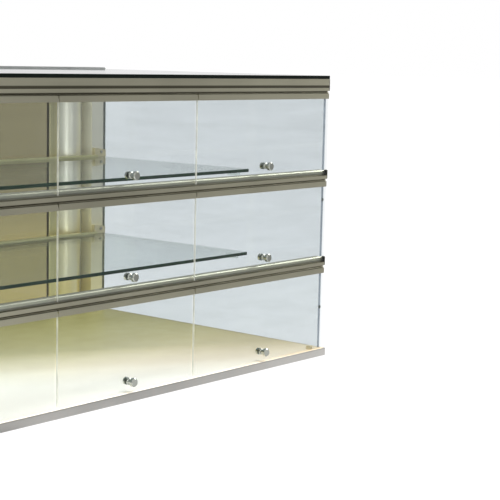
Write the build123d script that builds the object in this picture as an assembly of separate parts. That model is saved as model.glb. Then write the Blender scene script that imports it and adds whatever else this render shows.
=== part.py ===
"""Countertop bread display bin.

A three-tier glass case for loaves and pastries. Nine glass flaps hang side by side, three to a tier,
from aluminium rails and lift outward for the customer. The staff fill the case through two sliding
panels at the rear.

X runs across the front, Y from the front to the rear and Z up. The origin is the bottom centre of the
whole part. Every size is in millimetres. Tiers are named from the bottom up, and columns as seen from
the front.
"""
import os

from build123d import *

# ---------------------------------------------------------------- case
case_width = 1000.0             # over the outer faces of the side glasses
case_depth = 560.0              # front edge to rear edge of a side glass
side_glass_thickness = 6.0
top_glass_thickness = 6.0
top_glass_overhang = 1.0        # past the face of the top rail
glass_arris = 0.6               # ground edge of every fixed glass

# ---------------------------------------------------------------- base
base_height = 13.5              # top of the board that everything stands on
base_overhang = 4.0             # past the side glasses and past the rear frame
base_front_overhang = 4.0       # past the face of the rails
edge_wall = 1.5                 # wall of the aluminium edge angle, flush with the board
edge_flange = 14.0              # width of its leg under the board at the front and the sides
rear_edge_flange = 50.0         # wider at the rear, where the rear frame stands

# ---------------------------------------------------------------- tiers
tier_pitch = 157.0              # hinge axis to hinge axis
lower_tier_rise = 148.5         # top of the base to the lowest hinge axis
shelf_thickness = 6.0
shelf_rise = 4.5                # hinge axis to the underside of the shelf beside it
shelf_setback = 170.0           # front edge of the side glass to the front edge of a shelf
shelf_end_gap = 1.0             # shelf to side glass
shelf_rear_gap = 4.0            # rear edge of a shelf to the rear frame

# ---------------------------------------------------------------- rails, measured from the hinge axis
rail_nose_top = 10.0
rail_groove = 1.4               # shadow line above the nose
top_rail_groove_depth = 1.5
middle_rail_rise = 20.0
top_rail_rise = 25.0
rail_body_depth = 12.0          # of the part that stands between the side glasses
rail_underside = 2.0
rail_wall = 1.5
rail_bead_radius = 4.0          # rounded top of a middle rail
rail_cap_thickness = 1.5
rail_cap_corner = 1.5

# ---------------------------------------------------------------- flap doors and their hinges
centre_column_width = 300.0     # between the two lines where doors meet
door_side_gap = 2.0             # between neighbouring doors
door_end_margin = 0.5           # door edge inside the outer face of the side glass
door_glass_thickness = 4.0
door_bottom_gap = 1.5           # lowest doors above the base
door_corner_radius = 1.5
closed_gap = 0.4                # closed door to what it closes against
hinge_wall = 1.2
hinge_band_bottom = 10.0        # lower edge of the hinge profile, below the axis
hinge_web = 1.6                 # metal above the top edge of the door glass
axis_inset = 3.5                # hinge axis behind the rail face
bead_radius = 1.6
bead_clearance = 0.06           # radial running fit of the bead in its channel
channel_wall = 0.74
channel_open_from = 150.0       # degrees, where the channel mouth starts, measured from +Y towards +Z
channel_open_to = 292.0         # degrees, where it ends
channel_web_inset = 0.3         # web that carries the channel, behind the axis
swing_gap = 0.25                # fixed metal to the metal that swings round it
neck_front = 0.6                # front face of the neck, before the axis
neck_rear = 0.4                 # rear face of the neck, behind the axis
band_front_top = 0.6            # top of the front lip of the hinge profile, below the axis
band_rear_top = 3.0             # top of the hinge profile behind the neck

# ---------------------------------------------------------------- knobs
knob_rise = {"lower": 16.5, "middle": 23.0, "upper": 23.0}    # knob axis above the edge of the door glass
knob_length = 14.0
knob_head_radius = 7.0
knob_neck_radius = 4.0
knob_foot_radius = 5.5
knob_foot_length = 1.5
knob_stud_radius = 2.0
knob_hole_clearance = 0.5
knob_disc_radius = 6.0
knob_disc_thickness = 4.0
knob_disc_floor = 1.0
knob_thread_clearance = 0.05

# ---------------------------------------------------------------- rear frame
rear_frame_depth = 40.0
post_width = 38.0
column_width = 64.0
column_shoulder = 10.0          # straight side of the column, from its back
column_setback = 14.0           # crown of the column behind the front of the frame
post_wall = 2.0
header_height = 34.0
header_stand = 3.0              # header above the top glass
header_cap_thickness = 2.0
sill_height = 12.0
sill_setback = 12.0
sill_edge_radius = 2.0

# ---------------------------------------------------------------- rear sliding panels
rear_glass_thickness = 5.0
rear_stile_width = 25.0
rear_stile_thickness = 10.0
rear_stile_gap = 2.0            # between the two panels
rear_stile_grip = 10.0          # glass inside a stile
rear_stile_end_gap = 1.0        # stile to header and to sill
rear_track_setback = 20.0       # centre of the inner track behind the front of the frame
rear_track_clearance = 0.5      # each side of the glass in its groove
header_groove_depth = 12.0
header_grip = 6.0               # glass inside a header groove
sill_groove_depth = 6.0
panel_end_gap = 0.5             # closed panel to the column beside it
finger_slot_width = 12.0
finger_slot_length = 90.0
finger_slot_depth = 1.8

# ---------------------------------------------------------------- shelf carriers and small trim
shelf_bar_height = 17.0
shelf_bar_depth = 12.0
shelf_bar_lip = 4.5             # bar above the top of the shelf
shelf_bar_groove = 8.0
shelf_bar_fit = 0.15            # above and below the glass in the groove
shelf_bar_end_gap = 26.0        # end of the bar to the side glass
bracket_height = 18.0
bracket_depth = 8.0
bracket_slope = 4.0
bracket_shelf_gap = 0.3
screw_shank_radius = 1.6
screw_head_radius = 3.2
screw_head_height = 1.6
screw_clearance = 0.05
screw_engagement = 3.0          # past the bracket, into the post
rest_length = 24.0
rest_width = 9.0
rest_height = 8.0
rest_end_inset = 22.0           # front corner of a shelf to the rest below it
bumper_radius = 2.6
bumper_drops = {"lower": 73.0, "middle": 34.0}    # below the hinge axis of the tier
stop_width = 8.0
stop_depth = 8.0
stop_height = 6.0               # above the board
stop_inset = 22.0               # outer edge of the door to the stop behind it

# ---------------------------------------------------------------- names, from the bottom up and from the left
TIERS = ("lower", "middle", "upper")
COLUMNS = ("left", "centre", "right")
SIDES = {"left": -1, "right": 1}

# ---------------------------------------------------------------- derived places
half_width = case_width / 2
inner_half = half_width - side_glass_thickness
flap_depth = door_glass_thickness + 2 * hinge_wall
front_reach = closed_gap + flap_depth + max(knob_length - hinge_wall, base_front_overhang)
rear_reach = case_depth + rear_frame_depth + base_overhang
front_y = (front_reach - rear_reach) / 2          # front edge of the side glasses
rear_y = front_y + case_depth                     # rear edge of the side glasses, front of the rear frame
frame_back_y = rear_y + rear_frame_depth
face_y = front_y - closed_gap - flap_depth        # face of the rails and the hinge profiles
axis_y = face_y + axis_inset
rail_back_y = front_y + rail_body_depth
channel_outer = bead_radius + bead_clearance + channel_wall
lip_swing = (axis_inset**2 + band_front_top**2) ** 0.5    # radius that the front lip of a door sweeps
rail_nose_bottom = lip_swing + swing_gap

base_front_y = face_y - base_front_overhang
base_back_y = frame_back_y + base_overhang
base_half = half_width + base_overhang

glass_bottom_z = base_height + lower_tier_rise + (len(TIERS) - 1) * tier_pitch + top_rail_rise
top_z = glass_bottom_z + top_glass_thickness
header_top = top_z + header_stand
header_bottom = header_top - header_height
column_inner = half_width - post_width - column_width
sill_top = base_height + sill_height

band_clear_y = face_y + hinge_wall + door_glass_thickness + closed_gap    # face that a closed door rests near
shelf_front_y = front_y + shelf_setback
shelf_rear_y = rear_y - shelf_rear_gap
bar_half = inner_half - shelf_bar_end_gap

inner_track_y = rear_y + rear_track_setback
outer_track_y = inner_track_y + rear_stile_thickness + rear_stile_gap
panel_outer_x = column_inner - panel_end_gap
panel_travel = panel_outer_x - rear_stile_width / 2


def axis_z(tier):
    """Height of the hinge axis of a tier."""
    return base_height + lower_tier_rise + TIERS.index(tier) * tier_pitch


def shelf_bottom(tier):
    """Underside of the shelf beside the hinge axis of a tier."""
    return axis_z(tier) + shelf_rise


def column_span(column):
    """Left and right edge of the doors in a column."""
    meeting = centre_column_width / 2
    edge = half_width - door_end_margin
    half_gap = door_side_gap / 2
    return {
        "left": (-edge, -meeting - half_gap),
        "centre": (-meeting + half_gap, meeting - half_gap),
        "right": (meeting + half_gap, edge),
    }[column]


def door_glass_bottom(tier):
    """Lower edge of the door glass: just above the nose of the rail below, or above the base."""
    index = TIERS.index(tier)
    if index == 0:
        return base_height + door_bottom_gap
    return axis_z(TIERS[index - 1]) + rail_nose_top + rail_groove


def door_glass_top(tier):
    """Upper edge of the door glass, against the web of its hinge profile."""
    return axis_z(tier) - band_rear_top - hinge_web


# ---------------------------------------------------------------- shaping helpers
def block(x_range, y_range, z_range):
    """A box from its lowest to its highest value on each axis."""
    sizes = [high - low for low, high in (x_range, y_range, z_range)]
    centre = [(low + high) / 2 for low, high in (x_range, y_range, z_range)]
    return Pos(*centre) * Box(*sizes)


def polygon(points):
    """A flat face inside straight sides."""
    return make_face(Polyline(*points, close=True))


def along_x(face, x_range):
    """Extrudes a face drawn in (Y, Z) across the part."""
    return extrude(Plane.YZ.offset(x_range[0]) * face, amount=x_range[1] - x_range[0])


def along_z(face, z_range):
    """Extrudes a face drawn in (X, Y) upward."""
    return extrude(Plane.XY.offset(z_range[0]) * face, amount=z_range[1] - z_range[0])


def rod_y(radius, x, z, y_range):
    """A round bar along Y."""
    length = y_range[1] - y_range[0]
    return Pos(x, (y_range[0] + y_range[1]) / 2, z) * Rot(90, 0, 0) * Cylinder(radius, length)


def mirrored(shape):
    """The same shape on the other side of the part."""
    return mirror(shape, about=Plane.YZ)


def pane(x_range, y_range, z_range):
    """A sheet of glass with ground edges."""
    sheet = block(x_range, y_range, z_range)
    return chamfer(sheet.edges(), glass_arris)


def save(shape, node):
    """Writes one node."""
    export_step(shape, "parts/" + node + ".step")


# ---------------------------------------------------------------- base
def base_board():
    """Gloss laminated board that is the floor of the lowest tier."""
    return block(
        (-base_half + edge_wall, base_half - edge_wall),
        (base_front_y + edge_wall, base_back_y - edge_wall),
        (edge_wall, base_height),
    )


def edge_profile(flange):
    """Angle section with its web at 0 and its leg running inward under the board, in (depth, height)."""
    return polygon([(0, 0), (flange, 0), (flange, edge_wall), (edge_wall, edge_wall),
                    (edge_wall, base_height), (0, base_height)])


def base_edge(name):
    """One side of the mitred aluminium frame round the board."""
    mitre = edge_flange
    deep = rear_edge_flange
    left, right = -base_half, base_half
    corner = {
        "front": [(left, base_front_y), (right, base_front_y),
                  (right - mitre, base_front_y + mitre), (left + mitre, base_front_y + mitre)],
        "rear": [(left, base_back_y), (right, base_back_y),
                 (right - mitre, base_back_y - mitre), (right - mitre, base_back_y - deep),
                 (left + mitre, base_back_y - deep), (left + mitre, base_back_y - mitre)],
        "left": [(left, base_front_y), (left + mitre, base_front_y + mitre),
                 (left + mitre, base_back_y - mitre), (left, base_back_y)],
        "right": [(right, base_front_y), (right - mitre, base_front_y + mitre),
                  (right - mitre, base_back_y - mitre), (right, base_back_y)],
    }[name]
    plan = along_z(polygon(corner), (0, base_height))
    if name == "front":
        bar = Pos(0, base_front_y, 0) * along_x(edge_profile(edge_flange), (left, right))
    elif name == "rear":
        bar = Pos(0, base_back_y, 0) * mirror(
            along_x(edge_profile(rear_edge_flange), (left, right)), about=Plane.XZ
        )
    else:
        run = extrude(
            Plane.XZ.offset(-base_front_y) * edge_profile(edge_flange), amount=-(base_back_y - base_front_y)
        )
        bar = Pos(left, 0, 0) * run
        if name == "right":
            bar = mirrored(bar)
    return bar & plan


# ---------------------------------------------------------------- glass box
def side_glass(side):
    """Stands on the board and carries the top glass."""
    low, high = sorted((SIDES[side] * inner_half, SIDES[side] * half_width))
    return pane((low, high), (front_y, rear_y), (base_height, glass_bottom_z))


def top_glass():
    """Lies on the top rail and the side glasses and butts against the rear header."""
    return pane((-half_width, half_width), (face_y - top_glass_overhang, rear_y), (glass_bottom_z, top_z))


# ---------------------------------------------------------------- rails
def channel_mouth():
    """The part of the hinge channel that is left open so that the neck of a door can swing."""
    reach = channel_outer + swing_gap / 2
    steps = 12
    turn = (channel_open_to - channel_open_from) / steps
    rim = [Vector(reach, 0).rotate(Axis.Z, channel_open_from + turn * i) for i in range(steps + 1)]
    return polygon([(0, 0)] + [(p.X, p.Y) for p in rim])


def rail_rise(tier):
    """Top of a rail above its hinge axis."""
    return top_rail_rise if tier == TIERS[-1] else middle_rail_rise


def rail_section(tier):
    """Section of a rail in (Y, Z) round its hinge axis: nose, shadow groove, body and hinge channel."""
    nose_front = face_y - axis_y
    back = rail_back_y - axis_y
    rise = rail_rise(tier)
    if tier == TIERS[-1]:
        groove_floor = nose_front + top_rail_groove_depth
        groove_top = rail_nose_top + rail_groove
        upper = [(groove_floor, rail_nose_top), (groove_floor, groove_top), (nose_front, groove_top),
                 (nose_front, rise), (back, rise)]
    else:
        rest_face = band_clear_y - axis_y
        upper = [(rest_face, rail_nose_top), (rest_face, rise), (back, rise)]
    outline = polygon(
        [(nose_front, rail_nose_bottom), (nose_front, rail_nose_top)] + upper
        + [(back, -rail_underside), (bead_radius, -rail_underside), (channel_web_inset, 0),
           (channel_web_inset, rail_nose_bottom)]
    )
    if tier != TIERS[-1]:
        bead = [v for v in outline.vertices() if v.Y > rise - 0.01]
        outline = fillet(bead, rail_bead_radius)
    chamber_front = front_y - axis_y + rail_wall
    chamber_back = back - rail_wall
    chamber_floor = rail_wall - rail_underside
    chamber_top = rise - rail_bead_radius
    chamber = polygon([(chamber_front, chamber_floor), (chamber_back, chamber_floor),
                       (chamber_back, chamber_top), (chamber_front, chamber_top)])
    solid = outline + Circle(channel_outer)
    return solid - Circle(channel_outer - channel_wall) - channel_mouth() - chamber


def rail(tier):
    """Full-width rail: its front laps over the side glasses and its body fits between them."""
    rise = rail_rise(tier)
    bar = Pos(0, axis_y, axis_z(tier)) * along_x(rail_section(tier), (-half_width, half_width))
    z_range = (axis_z(tier) - rail_underside - 1, axis_z(tier) + rise + 1)
    for side in SIDES.values():
        low, high = sorted((side * inner_half, side * (half_width + 1)))
        bar -= block((low, high), (front_y, rail_back_y + 1), z_range)
    return bar


def rail_end_caps():
    """Plastic plates that close the ends of the three rails."""
    caps = []
    for tier in TIERS:
        z_range = (axis_z(tier) + rail_nose_bottom, axis_z(tier) + rail_rise(tier))
        plate = block((half_width, half_width + rail_cap_thickness), (face_y, front_y), z_range)
        plate = fillet(plate.edges().filter_by(Axis.X), rail_cap_corner)
        caps += [plate, mirrored(plate)]
    return Compound(caps)


# ---------------------------------------------------------------- flap doors
def door_hinge(tier, column):
    """Profile that grips the top of the glass and turns on the bead in the rail's channel."""
    front = face_y - axis_y
    back = front + flap_depth
    slot_front = front + hinge_wall
    slot_back = back - hinge_wall
    web_bottom = -band_rear_top - hinge_web
    band = polygon([
        (front, -hinge_band_bottom), (front, -band_front_top), (0, -band_front_top),
        (0, -band_rear_top), (back, -band_rear_top), (back, -hinge_band_bottom),
        (slot_back, -hinge_band_bottom), (slot_back, web_bottom),
        (slot_front, web_bottom), (slot_front, -hinge_band_bottom),
    ])
    cove = Circle(channel_outer + swing_gap)
    neck = polygon([(-neck_front, web_bottom), (-neck_front, 0), (neck_rear, 0), (neck_rear, web_bottom)])
    section = band - cove + neck + Circle(bead_radius)
    return Pos(0, axis_y, axis_z(tier)) * along_x(section, column_span(column))


def door_glass(tier, column):
    """Flap glass with a hole for its knob."""
    left, right = column_span(column)
    low, high = door_glass_bottom(tier), door_glass_top(tier)
    y_range = (face_y + hinge_wall, face_y + hinge_wall + door_glass_thickness)
    sheet = block((left, right), y_range, (low, high))
    lower_corners = sheet.edges().filter_by(Axis.Y).group_by(Axis.Z)[0]
    sheet = fillet(lower_corners, door_corner_radius)
    hole_radius = knob_stud_radius + knob_hole_clearance
    return sheet - rod_y(hole_radius, (left + right) / 2, low + knob_rise[tier], y_range)


def door_knob(tier, column):
    """Turned knob with its stud through the glass, and the disc that it screws into behind the glass."""
    x = sum(column_span(column)) / 2
    z = door_glass_bottom(tier) + knob_rise[tier]
    glass_front = face_y + hinge_wall
    glass_back = glass_front + door_glass_thickness
    shoulder = (knob_length - knob_foot_length) / 2
    profile = polygon([
        (0, 0), (knob_foot_radius, 0), (knob_foot_radius, -knob_foot_length),
        (knob_neck_radius, -knob_foot_length - 1), (knob_neck_radius, -shoulder),
        (knob_head_radius, -shoulder - 2), (knob_head_radius, -knob_length + 1.5),
        (knob_head_radius - 1.5, -knob_length), (0, -knob_length),
    ])
    head = Pos(x, glass_front, z) * revolve(profile, axis=Axis.Y)
    stud_end = glass_back + knob_disc_thickness - knob_disc_floor - knob_hole_clearance
    head += rod_y(knob_stud_radius, x, z, (glass_front, stud_end))
    disc = rod_y(knob_disc_radius, x, z, (glass_back, glass_back + knob_disc_thickness))
    bore_end = glass_back + knob_disc_thickness - knob_disc_floor
    disc -= rod_y(knob_stud_radius + knob_thread_clearance, x, z, (glass_back, bore_end))
    rim = disc.edges().filter_by(GeomType.CIRCLE).sort_by(Axis.Y)[-1]
    disc = fillet(rim, knob_disc_floor / 2)
    return Compound([head, disc])


# ---------------------------------------------------------------- shelves and what carries them
def shelf(tier):
    """Glass shelf, set back from the doors."""
    reach = inner_half - shelf_end_gap
    low = shelf_bottom(tier)
    return pane((-reach, reach), (shelf_front_y, shelf_rear_y), (low, low + shelf_thickness))


def shelf_bar(tier):
    """Bar across the rear frame with a groove for the rear edge of a shelf."""
    low = shelf_bottom(tier)
    top = low + shelf_thickness + shelf_bar_lip
    bar_front = rear_y - shelf_bar_depth
    bar = block((-bar_half, bar_half), (bar_front, rear_y), (top - shelf_bar_height, top))
    return bar - block(
        (-bar_half - 1, bar_half + 1),
        (bar_front - 1, bar_front + shelf_bar_groove),
        (low - shelf_bar_fit, low + shelf_thickness + shelf_bar_fit),
    )


def bracket_hole(tier):
    """Where the screw of the right-hand bracket of a tier sits."""
    x = (bar_half + inner_half) / 2
    return x, bracket_bottom(tier) + bracket_height / 2 + 1


def bracket_bottom(tier):
    """Lower face of the corner brackets, just above the shelf."""
    return shelf_bottom(tier) + shelf_thickness + bracket_shelf_gap


def shelf_bar_brackets():
    """Wedges that tie the bar ends into the corners between side glass and post."""
    wedges = []
    for tier in TIERS[:-1]:
        low = bracket_bottom(tier)
        bar_top = shelf_bottom(tier) + shelf_thickness + shelf_bar_lip
        shoulder = low + bracket_height - bracket_slope
        side = [(bar_half - bracket_slope, bar_top), (bar_half, bar_top), (bar_half, low), (inner_half, low),
                (inner_half, shoulder), (bar_half, low + bracket_height),
                (bar_half - bracket_slope, low + bracket_height)]
        x, z = bracket_hole(tier)
        wedge = extrude(Plane.XZ.offset(-rear_y) * polygon(side), amount=bracket_depth)
        wedge -= rod_y(screw_shank_radius + screw_clearance, x, z, (rear_y - bracket_depth - 1, rear_y + 1))
        wedges += [wedge, mirrored(wedge)]
    return Compound(wedges)


def bracket_screws():
    """Pan-head screws through the brackets into the posts."""
    screws = []
    for tier in TIERS[:-1]:
        x, z = bracket_hole(tier)
        face = rear_y - bracket_depth
        shank = rod_y(screw_shank_radius, x, z, (face, rear_y + screw_engagement))
        head = rod_y(screw_head_radius, x, z, (face - screw_head_height, face))
        rim = head.edges().filter_by(GeomType.CIRCLE).sort_by(Axis.Y)[0]
        screw = fillet(rim, screw_head_height / 2) + shank
        screws += [screw, mirrored(screw)]
    return Compound(screws)


def shelf_rests():
    """Clear blocks bonded to the side glasses under the front corners of the shelves."""
    rests = []
    start = shelf_front_y + rest_end_inset
    for tier in TIERS[:-1]:
        low = shelf_bottom(tier)
        rest = block(
            (inner_half - rest_width, inner_half), (start, start + rest_length), (low - rest_height, low)
        )
        rests += [rest, mirrored(rest)]
    return Compound(rests)


def door_bumpers():
    """Soft dots on the front edges of the side glasses."""
    dots = []
    for tier, drop in bumper_drops.items():
        x = half_width - side_glass_thickness / 2
        dot = rod_y(bumper_radius, x, axis_z(tier) - drop, (band_clear_y, front_y))
        dots += [dot, mirrored(dot)]
    return Compound(dots)


def door_stops():
    """Blocks in the front corners of the board that the lowest doors rest near."""
    right = half_width - door_end_margin - stop_inset
    y_range = (band_clear_y, band_clear_y + stop_depth)
    stop = block((right - stop_width, right), y_range, (base_height, base_height + stop_height))
    return Compound([stop, mirrored(stop)])


# ---------------------------------------------------------------- rear frame
def column_face(inset):
    """Plan of the rounded column beside the right post, moved inward by inset on every side."""
    outer = half_width - post_width - inset
    inner = column_inner + inset
    shoulder_y = frame_back_y - column_shoulder
    crown = ((outer + inner) / 2, rear_y + column_setback + inset)
    back_y = frame_back_y - inset
    front = ThreePointArc((inner, shoulder_y), crown, (outer, shoulder_y))
    rest = Polyline((outer, shoulder_y), (outer, back_y), (inner, back_y), (inner, shoulder_y))
    return make_face(front + rest)


def rear_post(side):
    """Hollow extrusion: a square post behind the side glass and a rounded column beside it."""
    post = block(
        (half_width - post_width, half_width), (rear_y, frame_back_y), (base_height, header_bottom)
    )
    post += along_z(column_face(0), (base_height, header_bottom))
    post -= block(
        (half_width - post_width + post_wall, half_width - post_wall),
        (rear_y + post_wall, frame_back_y - post_wall),
        (base_height, header_bottom),
    )
    post -= along_z(column_face(post_wall), (base_height, header_bottom))
    for tier in TIERS[:-1]:
        x, z = bracket_hole(tier)
        post -= rod_y(screw_shank_radius + screw_clearance, x, z, (rear_y - 1, rear_y + post_wall + 1))
    return post if side == "right" else mirrored(post)


def rear_header():
    """Top of the rear frame, with the deep grooves that the panels hang in."""
    cap_face = half_width - header_cap_thickness
    groove_half = rear_glass_thickness / 2 + rear_track_clearance
    groove_top = header_bottom + header_groove_depth
    section = polygon([(rear_y, header_bottom), (frame_back_y, header_bottom),
                       (frame_back_y, header_top), (rear_y, header_top)])
    for track_y in (inner_track_y, outer_track_y):
        section -= polygon([(track_y - groove_half, header_bottom), (track_y + groove_half, header_bottom),
                            (track_y + groove_half, groove_top), (track_y - groove_half, groove_top)])
    chamber_floor = groove_top + post_wall
    section -= polygon([(rear_y + post_wall, chamber_floor), (frame_back_y - post_wall, chamber_floor),
                        (frame_back_y - post_wall, header_top - post_wall),
                        (rear_y + post_wall, header_top - post_wall)])
    return along_x(section, (-cap_face, cap_face))


def header_end_caps():
    """Plates that close the ends of the header."""
    cap = block(
        (half_width - header_cap_thickness, half_width), (rear_y, frame_back_y), (header_bottom, header_top)
    )
    cap = fillet(cap.edges().filter_by(Axis.X).group_by(Axis.Z)[-1], header_cap_thickness)
    return Compound([cap, mirrored(cap)])


def rear_sill():
    """Bottom of the rear frame, with the shallow grooves that the panels stand in."""
    groove_half = rear_glass_thickness / 2 + rear_track_clearance
    sill = block(
        (-column_inner, column_inner), (rear_y + sill_setback, frame_back_y), (base_height, sill_top)
    )
    for track_y in (inner_track_y, outer_track_y):
        sill -= block(
            (-column_inner, column_inner),
            (track_y - groove_half, track_y + groove_half),
            (sill_top - sill_groove_depth, sill_top),
        )
    front_edge = sill.edges().filter_by(Axis.X).sort_by(Axis.Y)[:2].sort_by(Axis.Z)[-1]
    return fillet(front_edge, sill_edge_radius)


def track_of(side):
    """Left panel in the inner track, right panel in the outer one."""
    return inner_track_y if side == "left" else outer_track_y


def rear_glass(side):
    """Tinted sliding glass between its two stiles."""
    cover = rear_stile_width - rear_stile_grip
    low_x = -panel_outer_x + cover
    high_x = rear_stile_width / 2 - cover
    half = rear_glass_thickness / 2
    y = track_of(side)
    low_z = sill_top - sill_groove_depth + rear_track_clearance
    panel = block((low_x, high_x), (y - half, y + half), (low_z, header_bottom + header_grip))
    return panel if side == "left" else mirrored(panel)


def rear_stile(side, is_outer):
    """Upright profile on an edge of a sliding glass, the outer one with a slot for the fingers."""
    z_range = (sill_top + rear_stile_end_gap, header_bottom - rear_stile_end_gap)
    y = track_of(side)
    half = rear_stile_thickness / 2
    if is_outer:
        x_range = (-panel_outer_x, -panel_outer_x + rear_stile_width)
        slot_x = (x_range[1] - rear_stile_grip, x_range[1])
    else:
        x_range = (-rear_stile_width / 2, rear_stile_width / 2)
        slot_x = (x_range[0], x_range[0] + rear_stile_grip)
    stile = block(x_range, (y - half, y + half), z_range)
    stile = fillet(stile.edges().filter_by(Axis.Z), post_wall)
    glass_half = rear_glass_thickness / 2
    stile -= block(slot_x, (y - glass_half, y + glass_half), z_range)
    if is_outer:
        middle = (z_range[0] + z_range[1]) / 2
        centre_x = x_range[0] + rear_stile_width / 2
        slot = SlotOverall(finger_slot_length, finger_slot_width, rotation=90)
        cutter = extrude(Plane.XZ.offset(-(y + half)) * slot, amount=finger_slot_depth)
        stile -= Pos(centre_x, 0, middle) * cutter
    return stile if side == "left" else mirrored(stile)


# ---------------------------------------------------------------- the whole part
def build():
    """Every node of the part, by name."""
    nodes = {"base_board": base_board(), "top_glass": top_glass()}
    for name in ("front", "rear", "left", "right"):
        nodes["base_edge_" + name] = base_edge(name)
    for side in SIDES:
        nodes["side_glass_" + side] = side_glass(side)
        nodes["rear_post_" + side] = rear_post(side)
        nodes["rear_glass_" + side] = rear_glass(side)
        nodes["rear_pull_stile_" + side] = rear_stile(side, True)
        nodes["rear_meeting_stile_" + side] = rear_stile(side, False)
    for tier in TIERS:
        nodes["rail_" + tier] = rail(tier)
        for column in COLUMNS:
            place = tier + "_" + column
            nodes["door_glass_" + place] = door_glass(tier, column)
            nodes["door_hinge_" + place] = door_hinge(tier, column)
            nodes["door_knob_" + place] = door_knob(tier, column)
    for tier in TIERS[:-1]:
        nodes["shelf_" + tier] = shelf(tier)
        nodes["shelf_bar_" + tier] = shelf_bar(tier)
    nodes["rail_end_caps"] = rail_end_caps()
    nodes["shelf_bar_brackets"] = shelf_bar_brackets()
    nodes["bracket_screws"] = bracket_screws()
    nodes["shelf_rests"] = shelf_rests()
    nodes["door_bumpers"] = door_bumpers()
    nodes["door_stops"] = door_stops()
    nodes["rear_header"] = rear_header()
    nodes["header_end_caps"] = header_end_caps()
    nodes["rear_sill"] = rear_sill()
    return nodes


os.makedirs("parts", exist_ok=True)
for node, shape in build().items():
    save(shape, node)
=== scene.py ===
"""Looks of the countertop bread display bin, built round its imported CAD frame.

Lengths are in metres and colours are linear, with srgb() for the ones a screen would show.
"""
import math

import bpy
from mathutils import Matrix, Vector


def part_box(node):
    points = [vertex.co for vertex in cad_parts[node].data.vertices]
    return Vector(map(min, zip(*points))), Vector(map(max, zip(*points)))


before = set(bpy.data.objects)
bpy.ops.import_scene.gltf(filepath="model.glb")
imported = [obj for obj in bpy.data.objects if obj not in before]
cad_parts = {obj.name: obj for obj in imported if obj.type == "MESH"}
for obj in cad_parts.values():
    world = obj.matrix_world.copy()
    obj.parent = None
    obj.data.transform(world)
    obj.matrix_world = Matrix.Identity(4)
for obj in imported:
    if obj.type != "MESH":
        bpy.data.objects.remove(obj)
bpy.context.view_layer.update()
scene = bpy.context.scene


def srgb(red, green, blue):
    """Linear colour from the 0 to 255 values that a screen shows, by the sRGB standard's curve."""
    values = []
    for channel in (red, green, blue):
        c = channel / 255
        values.append(c / 12.92 if c <= 0.04045 else ((c + 0.055) / 1.055) ** 2.4)
    return (*values, 1.0)


def scaled(color, factor):
    """The colour, darker or lighter by a factor."""
    return [min(1.0, c * factor) for c in color[:3]] + [1.0]


WHITE = (1, 1, 1, 1)
USUAL = (0.3, 0.7)                                  # where most values of a noise lie
MIX_FIRST, MIX_SECOND, MIX_COLOR = 6, 7, 2          # colour sockets of Blender's Mix node

# ---------------------------------------------------------------- camera
SIDE_FRONT_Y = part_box("side_glass_left")[0].y       # front edge of the side glasses
CAMERA_PLACE = Vector((-1.5593, SIDE_FRONT_Y - 1.5367, 0.5350))
CAMERA_YAW = -50.365                                # degrees from +Y, negative towards +X
CAMERA_PITCH = -7.658                               # degrees, negative looks down
CAMERA_ROLL = 1.240                                 # degrees
CAMERA_REACH = 200.0
SENSOR_WIDTH = 36.0                                 # millimetres
FOCAL_PIXELS = 1427.03
IMAGE_PIXELS = 500.0

# ---------------------------------------------------------------- studio
# Where the studio is darker: direction, cosines where the dimming starts and is full, and
# the brightness there.
DIM_SIDES = (
    ((0.70, -0.714, 0.0), 0.60, 0.98, 0.38),
    ((-0.825, -0.565, 0.0), 0.93, 0.99, 0.45),
    ((-0.60, 0.80, 0.0), 0.35, 0.95, 0.60),
    ((0.0, 0.0, 1.0), 0.70, 0.97, 0.55),
)
# Softboxes: name, place, what they point at, side, watts, and whether polish mirrors them.
SOFTBOXES = (
    ("softbox_top", (-0.2, -0.3, 2.9), (0.0, 0, 0.2), 2.4, 120, False),
    ("softbox_fore", (-0.2, -1.6, 2.6), (-0.1, -0.2, 0), 2.0, 76, False),
    ("softbox_front", (-0.5, -3.3, 0.7), (0.2, 0, 0.25), 0.8, 7, True),
    ("softbox_right", (2.7, -1.1, 2.0), (0.2, 0, 0.25), 1.5, 40, True),
)
STUDIO_COLOR = (0.8, 0.8, 0.8, 1)
FLOOR_REACH = 40.0                                  # from the middle of the floor to its edges
FLOOR_COLOR = (0.06, 0.06, 0.06, 1)
FLOOR_ROUGH = 0.9
FLOOR_GLOW = 0.94                                   # the floor's own brightness to the camera
POOL_EDGE = (0.7, 1.2)                              # distances over which the near floor ends
POOL_GLOW = 0.75                                    # light that the near floor gives at least
MOST_PANES = 32                                     # surfaces of glass that one ray may cross

# ---------------------------------------------------------------- glass
GLASS_IOR = 1.42
FACE_COSINE = 0.9                                   # past this a surface is a face, not an edge
EDGE_GLOSS = 0.12
HAZE = (0.0018, 0.0096)                             # least and most share of haze on a face
HAZE_COLOR = (0.85, 0.88, 0.90, 1)
WIPED_ROUGH = 0.015                                 # roughest that a wiped face gets
FACE_TINT = (0.902, 0.922, 0.932, 1.0)
SHELF_TINT = (0.952, 0.984, 0.978, 1.0)
SHELF_END_TINT = (0.74, 0.77, 0.73, 1.0)
BRONZE_TINT = (0.52, 0.49, 0.36, 1.0)
# The bronze's low tint is painted light: yellower near the board, as light bounced from it.
BRONZE_BOUNCE_TINT = (0.66, 0.61, 0.38, 1.0)
BOARD_BOUNCE_HEIGHTS = (0.13, 0.27)                             # heights over which the painted light bounced from the board fades
AXES = {"X": (1, 0, 0), "Y": (0, 1, 0), "Z": (0, 0, 1)}

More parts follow.
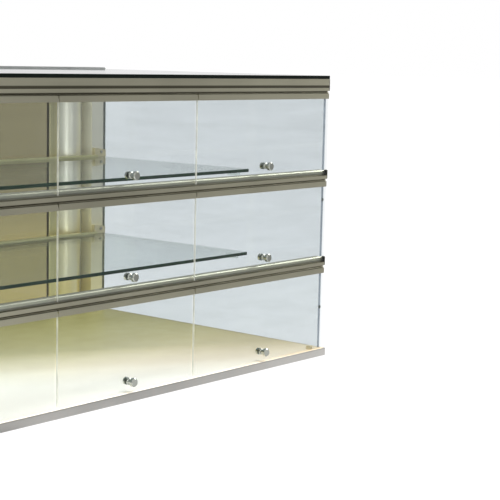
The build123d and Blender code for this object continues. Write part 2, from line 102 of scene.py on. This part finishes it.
# ---------------------------------------------------------------- metal
# A band is its heights, and the fades below and above them. The heights in a rail are from the
# rail's lowest line up, and repeat from rail to rail. A mark is a band with its strength.
LOWEST_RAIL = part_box("rail_lower")[0].z
RAIL_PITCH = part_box("rail_middle")[0].z - LOWEST_RAIL
# GROOVE and HINGE_GAP are painted shade: darker bands in the rails' groove and in the gap over the
# hinges.
GROOVE = ((0.0119, 0.0156), 0.0005, 0.0010)
HINGE_GAP = ((0.00158, 0.0060), 0.0001, 0.0001)
# NOSE is where a highlight is painted on the rails' nose.
NOSE = ((0.0160, 0.0204), 0.0008, 0.0014)
# A darker band on the front and rear base edges, from 12 to 14 mm up.
BASE_MARKS = (((0.0120, 0.0140), 0.0006, 0.0010, 0.20),)
# Colour that the marks darken towards: painted shade on the rails, a darker band on the base
# edges.
DARK_MARK_COLOR = srgb(50, 47, 30)
RAIL_COLOR = srgb(184, 181, 160)
RAIL_ROUGH = 0.37
RIGHT_END = (-0.1, 0.5)                             # X over which painted light grows to the right
LOOKS_IN = (-0.10, 0.0)                             # place times normal of a face, in to out
ALONG = {"X": (4, 700, 700), "Y": (700, 4, 700), "Z": (700, 700, 4)}    # stretch of die lines
INTERIOR_SHEEN = 0.86                               # metallic share where the board lights it

# ---------------------------------------------------------------- board
BOARD_RUN = (0.55, 0.95)                            # weights of X and Y in the board's painted shade
BOARD_SPAN = (-0.22, 0.40)                          # where the painted shade starts and ends
# Colours of the painted shade, pale at the front where light falls, olive towards the far rear
# corner.
BOARD_SHADE_STOPS = (
    (0.03, srgb(255, 247, 234)), (0.19, srgb(246, 233, 212)), (0.27, srgb(230, 213, 186)),
    (0.36, srgb(217, 200, 167)), (0.44, srgb(198, 181, 142)), (0.50, srgb(178, 163, 122)),
    (0.60, srgb(172, 157, 110)), (0.81, srgb(163, 149, 97)), (1.0, srgb(152, 139, 82)),
)
BOARD_SCUFF = srgb(190, 180, 150)


# ---------------------------------------------------------------- node helpers
class Tree:
    """Node tree of a material, or of the world, with short calls for adding and joining nodes."""

    def __init__(self, name, world=None):
        self.owner = world or bpy.data.materials.new(name)
        self.owner.use_nodes = True
        self.tree = self.owner.node_tree
        self.tree.nodes.clear()
        output = "ShaderNodeOutputWorld" if world else "ShaderNodeOutputMaterial"
        self.output = self.tree.nodes.new(output)

    def add(self, kind, **settings):
        node = self.tree.nodes.new(kind)
        for key, value in settings.items():
            setattr(node, key, value)
        return node

    def link(self, source, target):
        self.tree.links.new(source, target)

    def put(self, target, value):
        """Joins a socket to the target, or sets the target's own value."""
        if isinstance(value, bpy.types.NodeSocket):
            self.link(value, target)
        else:
            target.default_value = value

    def math(self, operation, first, second=0.0):
        node = self.add("ShaderNodeMath", operation=operation)
        self.put(node.inputs[0], first)
        self.put(node.inputs[1], second)
        return node.outputs[0]

    def dot(self, vector, other):
        node = self.add("ShaderNodeVectorMath", operation="DOT_PRODUCT")
        self.put(node.inputs[0], vector)
        self.put(node.inputs[1], other)
        return node.outputs["Value"]

    def mix(self, factor, first, second, blend="MIX"):
        """Mixes two colours."""
        node = self.add("ShaderNodeMix", data_type="RGBA", blend_type=blend)
        self.put(node.inputs[0], factor)
        self.put(node.inputs[MIX_FIRST], first)
        self.put(node.inputs[MIX_SECOND], second)
        return node.outputs[MIX_COLOR]

    def place(self, scale=(1, 1, 1)):
        """Object coordinates, stretched."""
        coordinates = self.add("ShaderNodeTexCoord")
        mapping = self.add("ShaderNodeMapping")
        mapping.inputs["Scale"].default_value = scale
        self.link(coordinates.outputs["Object"], mapping.inputs["Vector"])
        return mapping.outputs[0]

    def coordinate(self, axis):
        """Object coordinate along one axis."""
        separate = self.add("ShaderNodeSeparateXYZ")
        self.link(self.place(), separate.inputs[0])
        return separate.outputs[axis]

    def normal(self):
        """Normal in the object's own frame."""
        return self.add("ShaderNodeTexCoord").outputs["Normal"]

    def backfacing(self):
        return self.add("ShaderNodeNewGeometry").outputs["Backfacing"]

    def noise(self, scale, stretch=(1, 1, 1), detail=3.0, roughness=0.5):
        node = self.add("ShaderNodeTexNoise")
        self.link(self.place(stretch), node.inputs["Vector"])
        node.inputs["Scale"].default_value = scale
        node.inputs["Detail"].default_value = detail
        node.inputs["Roughness"].default_value = roughness
        return node.outputs["Fac"]

    def span(self, value, low, high, new_low, new_high):
        """Maps a value from one range to another, held at the ends."""
        node = self.add("ShaderNodeMapRange")
        self.put(node.inputs["Value"], value)
        ends = {"From Min": low, "From Max": high, "To Min": new_low, "To Max": new_high}
        for key, number in ends.items():
            node.inputs[key].default_value = number
        return node.outputs[0]

    def band(self, value, limits, fade_in, fade_out):
        """1 between the limits, fading to 0 beyond them."""
        low, high = limits
        entry = self.span(value, low - fade_in, low, 0.0, 1.0)
        return self.math("MULTIPLY", entry, self.span(value, high, high + fade_out, 1.0, 0.0))

    def painted_board_bounce(self):
        """1 near the board, fading to 0 higher up: where painted light bounced from the board is
        laid on.
        """
        return self.span(self.coordinate("Z"), *BOARD_BOUNCE_HEIGHTS, 1.0, 0.0)

    def bump(self, height, strength, distance=0.0002):
        node = self.add("ShaderNodeBump")
        self.put(node.inputs["Height"], height)
        node.inputs["Strength"].default_value = strength
        node.inputs["Distance"].default_value = distance
        return node.outputs[0]

    def shader(self, kind, **sockets):
        node = self.add(kind)
        for key, value in sockets.items():
            self.put(node.inputs[key.replace("_", " ")], value)
        return node.outputs[0]

    def principled(self, **sockets):
        return self.shader("ShaderNodeBsdfPrincipled", **sockets)

    def mix_shader(self, factor, first, second):
        node = self.add("ShaderNodeMixShader")
        for target, value in zip(node.inputs, (factor, first, second)):
            self.put(target, value)
        return node.outputs[0]

    def for_camera(self, hidden, seen):
        """The second shader to the camera itself, and the first to every other ray."""
        path = self.add("ShaderNodeLightPath")
        return self.mix_shader(path.outputs["Is Camera Ray"], hidden, seen)

    def finish(self, surface):
        self.link(surface, self.output.inputs["Surface"])
        return self.owner


# ---------------------------------------------------------------- materials
def pane_face(tree, tint, low_tint):
    """Clear face of a thin pane: tinted, mirroring alike from both sides, and hazy from wiping."""
    streaks = tree.noise(5.0, (1.2, 1.2, 9.0), detail=4.0, roughness=0.55)
    passed = tree.mix(tree.span(streaks, 0.35, 0.7, 0.0, 1.0), tint, scaled(tint, 0.975))
    # Painted light: a yellower tint low down, as light bounced from the board.
    if low_tint:
        passed = tree.mix(tree.painted_board_bounce(), passed, low_tint)
    clear = tree.shader("ShaderNodeBsdfTransparent", Color=passed)

    wiping = tree.noise(22.0, (1.0, 1.0, 0.35), detail=5.0, roughness=0.6)
    waves = tree.noise(3.0, detail=1.0)
    gloss = tree.shader(
        "ShaderNodeBsdfGlossy", Color=WHITE,
        Roughness=tree.span(wiping, 0.35, 0.75, 0.0, WIPED_ROUGH),
        Normal=tree.bump(waves, strength=0.03, distance=0.002),
    )
    fresnel = tree.add("ShaderNodeFresnel")
    tree.put(fresnel.inputs["IOR"], tree.span(tree.backfacing(), 0, 1, GLASS_IOR, 1 / GLASS_IOR))
    face = tree.mix_shader(fresnel.outputs[0], clear, gloss)

    dust = tree.shader("ShaderNodeBsdfDiffuse", Color=HAZE_COLOR)
    return tree.mix_shader(tree.span(wiping, 0.4, 0.8, *HAZE), face, dust)


def pane_edge(tree, edge, edge_clear, inner_edge, inner_tint):
    """Ground edge of a pane, partly clear, and what it looks like from inside the glass."""
    grind = tree.noise(900.0, detail=2.0)
    cloud = tree.span(tree.noise(60.0), *USUAL, 0.0, 1.0)
    ground = tree.principled(
        Base_Color=tree.mix(cloud, edge, scaled(edge, 0.7)), IOR=GLASS_IOR,
        Roughness=tree.span(grind, *USUAL, 0.2, 0.4), Specular_IOR_Level=EDGE_GLOSS,
        Normal=tree.bump(grind, strength=0.15),
    )
    through = tree.shader("ShaderNodeBsdfTransparent", Color=scaled(edge, 2.2))
    outer = tree.mix_shader(1 - edge_clear, through, ground)
    if not inner_edge:
        inner = tree.shader("ShaderNodeBsdfTransparent", Color=inner_tint)
        return tree.mix_shader(tree.backfacing(), outer, inner)

    inner = tree.shader("ShaderNodeBsdfDiffuse", Color=inner_edge)
    upright = tree.math("ABSOLUTE", tree.dot(tree.normal(), AXES["Y"]))
    bedded = tree.shader("ShaderNodeBsdfTransparent", Color=WHITE)
    return tree.mix_shader(upright, bedded, tree.mix_shader(tree.backfacing(), outer, inner))


def pane_glass(name, axis, tint, edge, edge_clear, low_tint=None, inner_edge=None,
               inner_tint=WHITE):
    """Float glass with clear faces square to axis and ground edges.

    low_tint is the tint at the foot of the pane, painted yellower as light bounced from the board,
    and tint the one higher up, where that painted light has faded. An edge seen from inside the
    glass is clear and tinted by inner_tint, or has the colour inner_edge on a pane whose level
    edges are bedded, and so don't show.
    """
    tree = Tree(name)
    square = tree.math("ABSOLUTE", tree.dot(tree.normal(), AXES[axis]))
    is_face = tree.math("GREATER_THAN", square, FACE_COSINE)
    rim = pane_edge(tree, edge, edge_clear, inner_edge, inner_tint)
    return tree.finish(tree.mix_shader(is_face, rim, pane_face(tree, tint, low_tint)))


def extruded_metal(name, color, rough, along, streak=0.10, die=0.07, metallic=1.0, inside=None,
                   right_end=1.0, marks=(), on_rail=False, nose_light=1.0):
    """Anodised extrusion with die lines along its length.

    inside has the colours, high up and near the board, of the faces that look into the case:
    painted light, lighter and warmer, yellowest near the board as light bounced from it.
    right_end paints light growing towards the right-hand end. marks are bands painted darker, as
    painted shade in a rail's groove and hinge gap. on_rail says that their heights are those in a
    rail, and nose_light paints a highlight on the nose of a rail with marks.
    """
    tree = Tree(name)
    lines = tree.noise(1.0, ALONG[along], detail=2.0, roughness=0.6)
    tone = color
    if inside:
        # Painted light: faces that look into the case are lighter and warmer, yellowest near the
        # board as light bounced from it.
        looks_in = tree.span(tree.dot(tree.place(), tree.normal()), *LOOKS_IN, 1.0, 0.0)
        tone = tree.mix(looks_in, color, tree.mix(tree.painted_board_bounce(), *inside))
    cloud = tree.span(tree.noise(7.0), *USUAL, 1 - streak, 1 + streak * 0.4)
    tone = tree.mix(1.0, tone, cloud, "MULTIPLY")
    # Painted light, growing towards the right-hand end.
    if right_end > 1.0:
        factor = tree.span(tree.coordinate("X"), *RIGHT_END, 1.0, right_end)
        tone = tree.mix(1.0, tone, factor, "MULTIPLY")
    if marks:
        height = tree.coordinate("Z")
        if on_rail:
            height = tree.math("MODULO", tree.math("SUBTRACT", height, LOWEST_RAIL), RAIL_PITCH)
        # Painted highlight on the rail's nose.
        if nose_light > 1.0:
            nose = tree.span(tree.band(height, *NOSE), 0.0, 1.0, 1.0, nose_light)
            tone = tree.mix(1.0, tone, nose, "MULTIPLY")
        # Marks: bands painted darker, painted shade in a rail's groove and its hinge gap.
        darkening = 0.0
        for limits, fade_in, fade_out, strength in marks:
            band = tree.band(height, limits, fade_in, fade_out)
            darkening = tree.math("MAXIMUM", tree.math("MULTIPLY", band, strength), darkening)
        tone = tree.mix(darkening, tone, DARK_MARK_COLOR)
    return tree.finish(tree.principled(
        Base_Color=tone, Metallic=metallic,
        Roughness=tree.span(lines, *USUAL, rough * (1 - 1.4 * die), rough * (1 + 1.7 * die)),
        Normal=tree.bump(lines, strength=die),
    ))


def rail_metal(name, groove, gap, nose_light=1.0):
    """Metal of rails and hinges, with painted shade in the groove and in the gap over the hinges.
    """
    marks = ((*GROOVE, groove), (*HINGE_GAP, gap))
    return extruded_metal(name, RAIL_COLOR, RAIL_ROUGH, "X", right_end=1.3, marks=marks,
                          on_rail=True, nose_light=nose_light)


def chrome(name):
    """Bright plating with the faintest orange peel and wear."""
    tree = Tree(name)
    peel = tree.noise(260.0, detail=2.0)
    wear = tree.noise(70.0, detail=4.0)
    return tree.finish(tree.principled(
        Base_Color=srgb(192, 195, 186), Metallic=1.0,
        Roughness=tree.span(wear, 0.35, 0.75, 0.05, 0.16),
        Normal=tree.bump(peel, strength=0.04, distance=0.0003),
    ))


def laminate(name):
    """Gloss cream board, with painted shade turning it olive-champagne towards the far rear
    corner, and painted light keeping it pale towards the front.
    """
    tree = Tree(name)
    across = tree.math("MULTIPLY", tree.coordinate("X"), BOARD_RUN[0])
    back = tree.math("MULTIPLY", tree.coordinate("Y"), BOARD_RUN[1])
    ramp = tree.add("ShaderNodeValToRGB")
    run = tree.math("ADD", across, back)
    tree.link(tree.span(run, *BOARD_SPAN, 0.0, 1.0), ramp.inputs[0])
    stops = ramp.color_ramp.elements
    stops[0].position, stops[0].color = BOARD_SHADE_STOPS[0]
    stops[1].position, stops[1].color = BOARD_SHADE_STOPS[-1]
    for position, color in BOARD_SHADE_STOPS[1:-1]:
        stops.new(position).color = color
    scuff = tree.noise(35.0, detail=5.0, roughness=0.65)
    worn = tree.span(scuff, 0.45, 0.8, 0.0, 0.05)
    return tree.finish(tree.principled(
        Base_Color=tree.mix(worn, ramp.outputs[0], BOARD_SCUFF), Specular_IOR_Level=0.35,
        Roughness=tree.span(scuff, 0.35, 0.75, 0.38, 0.52),
        Normal=tree.bump(tree.noise(420.0, detail=2.0), strength=0.03),
    ))


def moulded(name, color, rough, grain=600.0, strength=0.15):
    """Moulded plastic or rubber with a fine grain."""
    tree = Tree(name)
    fine = tree.noise(grain, detail=2.0)
    cloud = tree.span(tree.noise(40.0), 0.35, 0.7, 0.0, 1.0)
    return tree.finish(tree.principled(
        Base_Color=tree.mix(cloud, color, scaled(color, 0.82)),
        Roughness=tree.span(fine, *USUAL, rough * 0.85, min(1.0, rough * 1.2)),
        Normal=tree.bump(fine, strength, distance=0.0003),
    ))


def clear_moulded(name):
    """Clear moulded acrylic, a little milky."""
    tree = Tree(name)
    clear = tree.shader("ShaderNodeBsdfTransparent", Color=(0.86, 0.89, 0.88, 1))
    rough = tree.span(tree.noise(200.0), *USUAL, 0.08, 0.2)
    body = tree.principled(Base_Color=(0.78, 0.82, 0.80, 1), Roughness=rough)
    milky = tree.span(tree.noise(60.0), *USUAL, 0.25, 0.4)
    return tree.finish(tree.mix_shader(milky, clear, body))


# By name, without the number that Blender adds where the frame has a material of that name.
MATERIALS = {material.name.split(".")[0]: material for material in (
    # Door edges: pale ground glass, made near white with painted light, the light that glass edges
    # pipe.
    pane_glass("door_pane", "Y", FACE_TINT, srgb(250, 250, 240), 0.30),
    pane_glass("side_pane", "X", FACE_TINT, srgb(140, 148, 156), 0.3,
               inner_edge=srgb(48, 96, 56)),
    pane_glass("top_pane", "Z", FACE_TINT, srgb(12, 18, 14), 0.02),
    pane_glass("shelf_pane", "Z", SHELF_TINT, srgb(4, 42, 22), 0.03, inner_tint=SHELF_END_TINT),
    # Its low tint is painted light bounced from the board.
    pane_glass("bronze_pane", "Y", BRONZE_TINT, srgb(60, 58, 34), 0.1, low_tint=BRONZE_BOUNCE_TINT),
    rail_metal("rail_metal", 0.3, 0.50, nose_light=1.4),
    rail_metal("hinge_metal", 0.3, 0.50),
    rail_metal("low_rail_metal", 0.3, 0.40, nose_light=1.65),
    rail_metal("top_rail_metal", 0.8, 0.62),
    # Painted light grows towards its right-hand end; a darker band lies along it.
    extruded_metal("base_metal", srgb(184, 182, 178), 0.38, "X", right_end=1.6,
                   marks=BASE_MARKS),
    extruded_metal("base_side_metal", srgb(196, 194, 190), 0.38, "Y"),
    # Its inside colours are painted light from inside the case and bounced from the board.
    extruded_metal("post_metal", srgb(216, 214, 206), 0.33, "Z", streak=0.04, die=0.012,
                   metallic=INTERIOR_SHEEN, inside=(srgb(250, 245, 226), srgb(250, 237, 182))),
    extruded_metal("header_metal", srgb(200, 203, 201), 0.35, "X"),
    extruded_metal("bar_metal", srgb(216, 210, 160), 0.34, "X", metallic=INTERIOR_SHEEN),
    extruded_metal("bracket_metal", srgb(224, 213, 176), 0.36, "X", metallic=INTERIOR_SHEEN),
    # Its inside colours are painted light from inside the case and bounced from the board.
    extruded_metal("stile_metal", srgb(205, 195, 150), 0.30, "Z", metallic=INTERIOR_SHEEN,
                   inside=(srgb(212, 203, 158), srgb(244, 233, 166))),
    extruded_metal("sill_metal", srgb(170, 162, 122), 0.30, "X"),
    extruded_metal("screw_metal", srgb(180, 178, 170), 0.30, "Y"),
    chrome("chrome"),
    laminate("laminate"),
    moulded("dark_plastic", srgb(46, 45, 38), 0.5),
    moulded("beige_plastic", srgb(206, 190, 148), 0.5),
    moulded("grey_rubber", srgb(66, 74, 66), 0.7, grain=900.0, strength=0.2),
    clear_moulded("clear_plastic"),
)}
# Starts of the CAD nodes' names, and their materials: the first start that fits counts.
LOOKS = (
    ("door_glass_", "door_pane"), ("side_glass_", "side_pane"), ("top_glass", "top_pane"),
    ("shelf_bar_brackets", "bracket_metal"), ("shelf_bar_", "bar_metal"),
    ("shelf_rests", "clear_plastic"), ("shelf_", "shelf_pane"),
    ("rear_glass_", "bronze_pane"), ("rail_end_caps", "dark_plastic"),
    ("rail_upper", "top_rail_metal"), ("rail_lower", "low_rail_metal"),
    ("rail_", "rail_metal"), ("door_hinge_upper", "top_rail_metal"),
    ("door_hinge_", "hinge_metal"), ("door_knob_", "chrome"),
    ("door_bumpers", "grey_rubber"), ("door_stops", "beige_plastic"),
    ("base_board", "laminate"), ("base_edge_front", "base_metal"),
    ("base_edge_rear", "base_metal"), ("base_edge_", "base_side_metal"),
    ("rear_post_", "post_metal"), ("rear_header", "header_metal"),
    ("header_end_caps", "header_metal"), ("rear_pull_stile_", "stile_metal"),
    ("rear_meeting_stile_", "stile_metal"), ("rear_sill", "sill_metal"),
    ("bracket_screws", "screw_metal"),
)


def dress(node, piece):
    """Gives a CAD piece the material that its name calls for."""
    look = next(material for start, material in LOOKS if node.startswith(start))
    piece.data.materials.clear()
    piece.data.materials.append(MATERIALS[look])


# ---------------------------------------------------------------- floor, light and camera
def studio_level(tree, direction):
    """Brightness of the studio towards a direction."""
    level = 1.0
    for side, start, full, dim in DIM_SIDES:
        dimmed = tree.span(tree.dot(direction, side), start, full, 1.0, dim)
        level = tree.math("MULTIPLY", dimmed, level)
    return level


def make_floor():
    """Wide pale floor under the case. It lights the case as the studio round it does."""
    mesh = bpy.data.meshes.new("studio_floor")
    quarters = ((-1, -1), (1, -1), (1, 1), (-1, 1))
    corners = [(x * FLOOR_REACH, y * FLOOR_REACH, 0) for x, y in quarters]
    mesh.from_pydata(corners, [], [(0, 1, 2, 3)])
    floor = bpy.data.objects.new("studio_floor", mesh)
    scene.collection.objects.link(floor)
    tree = Tree("studio_floor")
    seen = tree.principled(Base_Color=FLOOR_COLOR, Roughness=FLOOR_ROUGH,
                           Emission_Color=WHITE, Emission_Strength=FLOOR_GLOW)
    distance = tree.add("ShaderNodeVectorMath", operation="LENGTH")
    tree.link(tree.place(), distance.inputs[0])
    direction = tree.add("ShaderNodeVectorMath", operation="NORMALIZE")
    tree.link(tree.place(), direction.inputs[0])
    near = tree.span(distance.outputs["Value"], *POOL_EDGE, POOL_GLOW, 0.0)
    level = tree.math("MAXIMUM", near, studio_level(tree, direction.outputs[0]))
    lit = tree.shader("ShaderNodeEmission", Strength=level)
    mesh.materials.append(tree.finish(tree.for_camera(lit, seen)))


def make_world():
    """White studio: the camera sees white, and the case is lit by its uneven surround."""
    scene.world = bpy.data.worlds.new("studio")
    tree = Tree("studio", scene.world)
    towards = tree.add("ShaderNodeTexCoord").outputs["Generated"]
    level = studio_level(tree, towards)
    lit = tree.shader("ShaderNodeBackground", Color=STUDIO_COLOR, Strength=level)
    seen = tree.shader("ShaderNodeBackground", Color=WHITE)
    tree.finish(tree.for_camera(lit, seen))


def make_light(name, place, aim, size, watts, mirrored):
    """A square softbox, which polished surfaces mirror or not."""
    light = bpy.data.lights.new(name, "AREA")
    light.shape = "SQUARE"
    light.size = size
    light.energy = watts
    lamp = bpy.data.objects.new(name, light)
    scene.collection.objects.link(lamp)
    lamp.visible_camera = False
    lamp.visible_glossy = mirrored
    turn = (Vector(aim) - Vector(place)).to_track_quat("-Z", "Y").to_matrix().to_4x4()
    lamp.matrix_world = Matrix.Translation(place) @ turn


def make_camera():
    """The view that the case was seen from."""
    yaw, pitch, roll = (math.radians(a) for a in (CAMERA_YAW, CAMERA_PITCH, CAMERA_ROLL))
    ahead = Vector((
        -math.sin(yaw) * math.cos(pitch), math.cos(yaw) * math.cos(pitch), math.sin(pitch)
    ))
    level = ahead.cross(Vector((0, 0, 1))).normalized()
    upright = level.cross(ahead)
    right = math.cos(roll) * level + math.sin(roll) * upright
    up = -math.sin(roll) * level + math.cos(roll) * upright
    camera = bpy.data.cameras.new("camera")
    camera.sensor_width = SENSOR_WIDTH
    camera.lens = FOCAL_PIXELS / IMAGE_PIXELS * SENSOR_WIDTH
    camera.clip_end = CAMERA_REACH
    holder = bpy.data.objects.new("camera", camera)
    scene.collection.objects.link(holder)
    turn = Matrix((right, up, -ahead)).transposed().to_4x4()
    holder.matrix_world = Matrix.Translation(CAMERA_PLACE) @ turn
    scene.camera = holder


for cad_node, cad_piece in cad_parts.items():
    dress(cad_node, cad_piece)
make_floor()
make_world()
for softbox in SOFTBOXES:
    make_light(*softbox)
make_camera()
scene.view_settings.view_transform = "Standard"
scene.cycles.transparent_max_bounces = MOST_PANES
